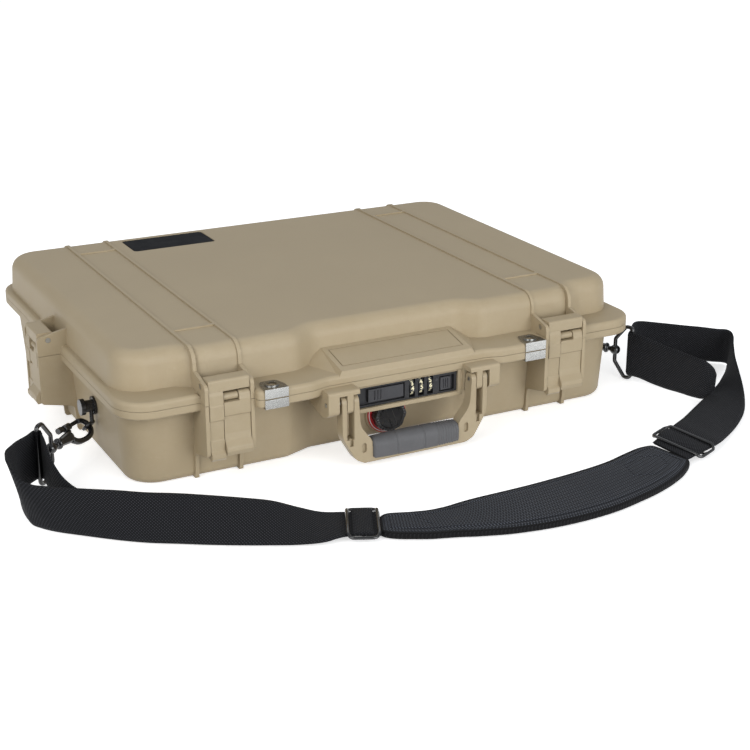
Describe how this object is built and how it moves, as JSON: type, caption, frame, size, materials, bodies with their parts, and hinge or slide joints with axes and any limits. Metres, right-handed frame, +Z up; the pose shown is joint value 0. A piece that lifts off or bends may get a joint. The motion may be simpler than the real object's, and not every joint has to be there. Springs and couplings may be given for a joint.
{
  "type": "laptop hard case",
  "caption": "Hard protective laptop case with a hinged lid, double-throw latches, folding handle, combination lock, pressure valve, padlock plates and padded shoulder strap",
  "frame": {"origin": "centre of the base's flat underside, on the surface it stands on", "axes": "+X to the right seen from the handle side, -Y towards the handle and latches, +Z up through the lid"},
  "size_m": [0.7659, 0.6227, 0.1215],
  "materials": {
    "case_plastic": "fine matte texture",
    "latch_plastic": "fine matte texture",
    "foam": "open cell foam",
    "steel": "brushed",
    "pin_steel": "ground",
    "lock_plastic": "satin black",
    "red_plastic": "satin red",
    "valve_plastic": "satin black",
    "seal_rubber": "matte black",
    "grip_rubber": "matte grey",
    "hook_plastic": "gloss black",
    "strap_webbing": "woven black webbing",
    "pad_fabric": "woven dark blue-grey twill"
  },
  "bodies": {
    "base": {"base_shell": "case_plastic", "base_foam": "foam", "hasp_base": "steel", "handle_pins": "pin_steel", "lock_housing": "lock_plastic", "dial_axle": "pin_steel", "valve_ring": "red_plastic", "hinge_pins": "pin_steel", "strap_studs": "case_plastic", "snap_hook_left": "hook_plastic", "snap_hook_right": "hook_plastic", "strap_ring_left": "hook_plastic", "strap_ring_right": "hook_plastic", "slider_left": "hook_plastic", "slider_right": "hook_plastic", "webbing_left": "strap_webbing", "webbing_right": "strap_webbing", "shoulder_pad": "pad_fabric"},
    "lid": {"lid_shell": "case_plastic", "lid_seal": "seal_rubber", "lid_foam": "foam", "hasp_lid": "steel", "latch_pins": "pin_steel", "lock_strike": "steel"},
    "latch_front_left": {"latch_jaw_front_left": "latch_plastic", "lever_pin_front_left": "pin_steel"},
    "lever_front_left": {"latch_lever_front_left": "latch_plastic"},
    "latch_front_right": {"latch_jaw_front_right": "latch_plastic", "lever_pin_front_right": "pin_steel"},
    "lever_front_right": {"latch_lever_front_right": "latch_plastic"},
    "latch_side_left": {"latch_jaw_side_left": "latch_plastic", "lever_pin_side_left": "pin_steel"},
    "lever_side_left": {"latch_lever_side_left": "latch_plastic"},
    "latch_side_right": {"latch_jaw_side_right": "latch_plastic", "lever_pin_side_right": "pin_steel"},
    "lever_side_right": {"latch_lever_side_right": "latch_plastic"},
    "handle": {"handle_frame": "case_plastic", "handle_grip": "grip_rubber"},
    "dial_1": {"lock_dial_1": "lock_plastic"},
    "dial_2": {"lock_dial_2": "lock_plastic"},
    "dial_3": {"lock_dial_3": "lock_plastic"},
    "lock_slide": {"lock_slide": "lock_plastic"},
    "lock_button": {"lock_button": "lock_plastic"},
    "reset_button": {"reset_button": "steel"},
    "valve": {"valve_knob": "valve_plastic"},
    "gate_left": {"hook_gate_left": "hook_plastic"},
    "gate_right": {"hook_gate_right": "hook_plastic"}
  },
  "joints": [
    {"name": "lid_hinge", "type": "hinge", "parent": "base", "child": "lid", "pos_m": [0, 0.203, 0.07815], "axis": [-1, 0, 0], "range_deg": [0, 105]},
    {"name": "latch_swing_front_left", "type": "hinge", "parent": "lid", "child": "latch_front_left", "pos_m": [-0.1702, -0.206, 0.093], "axis": [-1, 0, 0], "range_deg": [0, 95]},
    {"name": "lever_throw_front_left", "type": "hinge", "parent": "latch_front_left", "child": "lever_front_left", "pos_m": [-0.1702, -0.2119, 0.083], "axis": [-1, 0, 0], "range_deg": [0, 85]},
    {"name": "latch_swing_front_right", "type": "hinge", "parent": "lid", "child": "latch_front_right", "pos_m": [0.1702, -0.206, 0.093], "axis": [-1, 0, 0], "range_deg": [0, 95]},
    {"name": "lever_throw_front_right", "type": "hinge", "parent": "latch_front_right", "child": "lever_front_right", "pos_m": [0.1702, -0.2119, 0.083], "axis": [-1, 0, 0], "range_deg": [0, 85]},
    {"name": "latch_swing_side_left", "type": "hinge", "parent": "lid", "child": "latch_side_left", "pos_m": [-0.273, -0.0072, 0.093], "axis": [0, 1, 0], "range_deg": [0, 95]},
    {"name": "lever_throw_side_left", "type": "hinge", "parent": "latch_side_left", "child": "lever_side_left", "pos_m": [-0.2789, -0.0072, 0.083], "axis": [0, 1, 0], "range_deg": [0, 85]},
    {"name": "latch_swing_side_right", "type": "hinge", "parent": "lid", "child": "latch_side_right", "pos_m": [0.273, -0.0072, 0.093], "axis": [0, -1, 0], "range_deg": [0, 95]},
    {"name": "lever_throw_side_right", "type": "hinge", "parent": "latch_side_right", "child": "lever_side_right", "pos_m": [0.2789, -0.0072, 0.083], "axis": [0, -1, 0], "range_deg": [0, 85]},
    {"name": "handle_swing", "type": "hinge", "parent": "base", "child": "handle", "pos_m": [0, -0.229, 0.0645], "axis": [-1, 0, 0], "range_deg": [0, 100]},
    {"name": "dial_turn_1", "type": "hinge", "parent": "base", "child": "dial_1", "pos_m": [0.0056, -0.2095, 0.06], "axis": [1, 0, 0], "continuous": true},
    {"name": "dial_turn_2", "type": "hinge", "parent": "base", "child": "dial_2", "pos_m": [0.0149, -0.2095, 0.06], "axis": [1, 0, 0], "continuous": true},
    {"name": "dial_turn_3", "type": "hinge", "parent": "base", "child": "dial_3", "pos_m": [0.0242, -0.2095, 0.06], "axis": [1, 0, 0], "continuous": true},
    {"name": "bolt_slide", "type": "slide", "parent": "base", "child": "lock_slide", "axis": [-1, 0, 0], "range_m": [0, 0.008]},
    {"name": "release_slide", "type": "slide", "parent": "base", "child": "lock_button", "axis": [1, 0, 0], "range_m": [0, 0.003], "stiffness_N_per_m": 150},
    {"name": "reset_press", "type": "slide", "parent": "base", "child": "reset_button", "axis": [0, 1, 0], "range_m": [0, 0.001], "stiffness_N_per_m": 150},
    {"name": "valve_turn", "type": "hinge", "parent": "base", "child": "valve", "pos_m": [0, -0.18, 0.024], "axis": [0, -1, 0], "range_deg": [0, 270]},
    {"name": "gate_slide_left", "type": "slide", "parent": "base", "child": "gate_left", "axis": [-0.7793, -0.6266, 0], "range_m": [0, 0.008], "stiffness_N_per_m": 150},
    {"name": "gate_slide_right", "type": "slide", "parent": "base", "child": "gate_right", "axis": [0.4195, -0.9078, 0], "range_m": [0, 0.008], "stiffness_N_per_m": 150}
  ]
}
